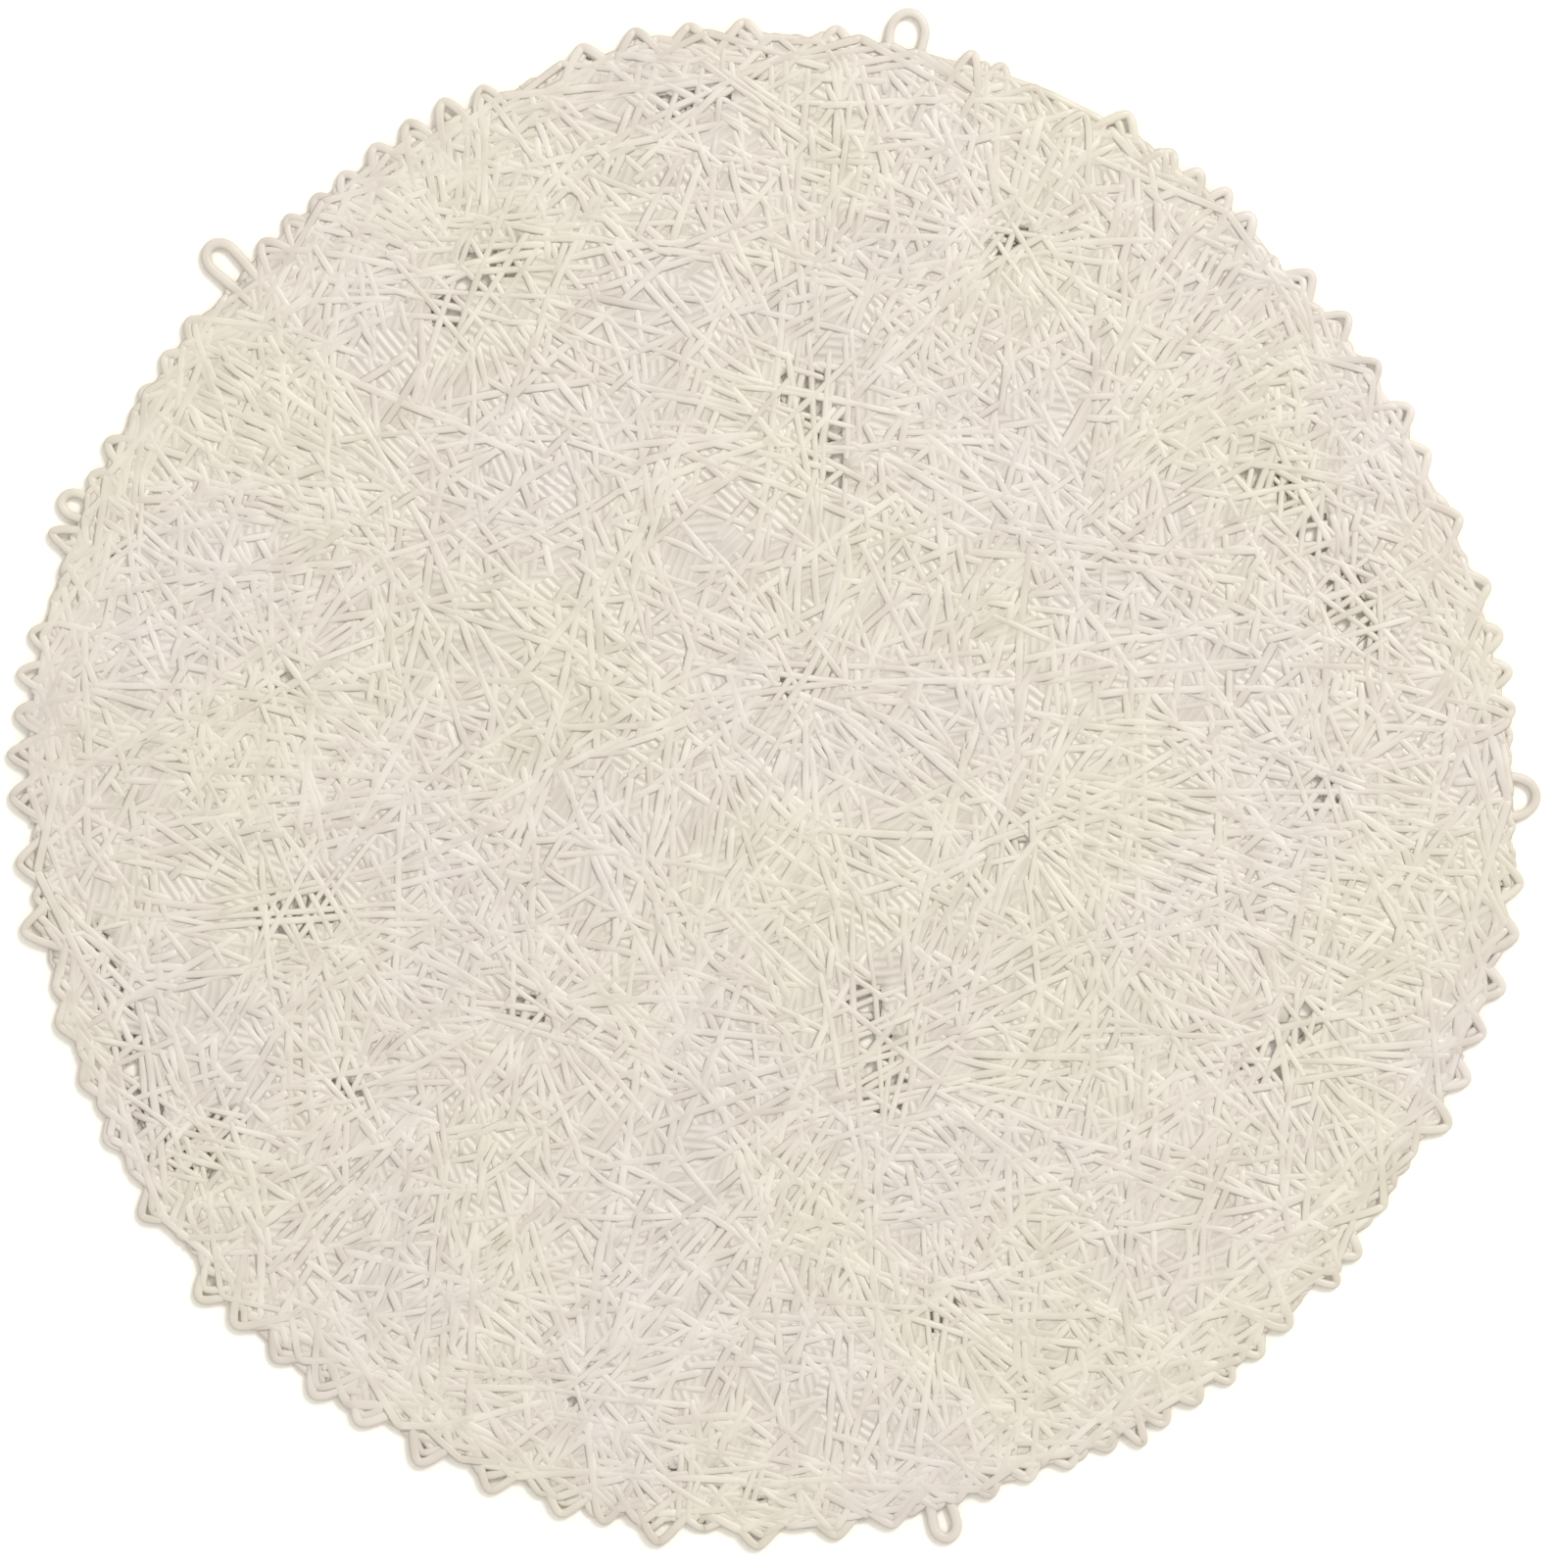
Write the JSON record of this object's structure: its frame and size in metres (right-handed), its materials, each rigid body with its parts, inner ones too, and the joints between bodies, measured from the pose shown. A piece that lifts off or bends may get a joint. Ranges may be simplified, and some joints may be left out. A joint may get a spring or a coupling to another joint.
{
  "type": "vinyl placemat",
  "caption": "Round flat openwork placemat of laid vinyl yarn, crossing in star-shaped bursts with small gaps, with a rim of standing yarn loops.",
  "frame": {"origin": "middle of the round body's underside, on the table", "axes": "+Z up, out of the table; seen from above, +X is right and +Y is up as in the picture"},
  "size_m": [0.3832, 0.3851, 0.0027],
  "materials": {
    "vinyl_yarn": "pressed coated yarn, soft sheen"
  },
  "bodies": {
    "root": {"mat": "vinyl_yarn"}
  },
  "joints": []
}
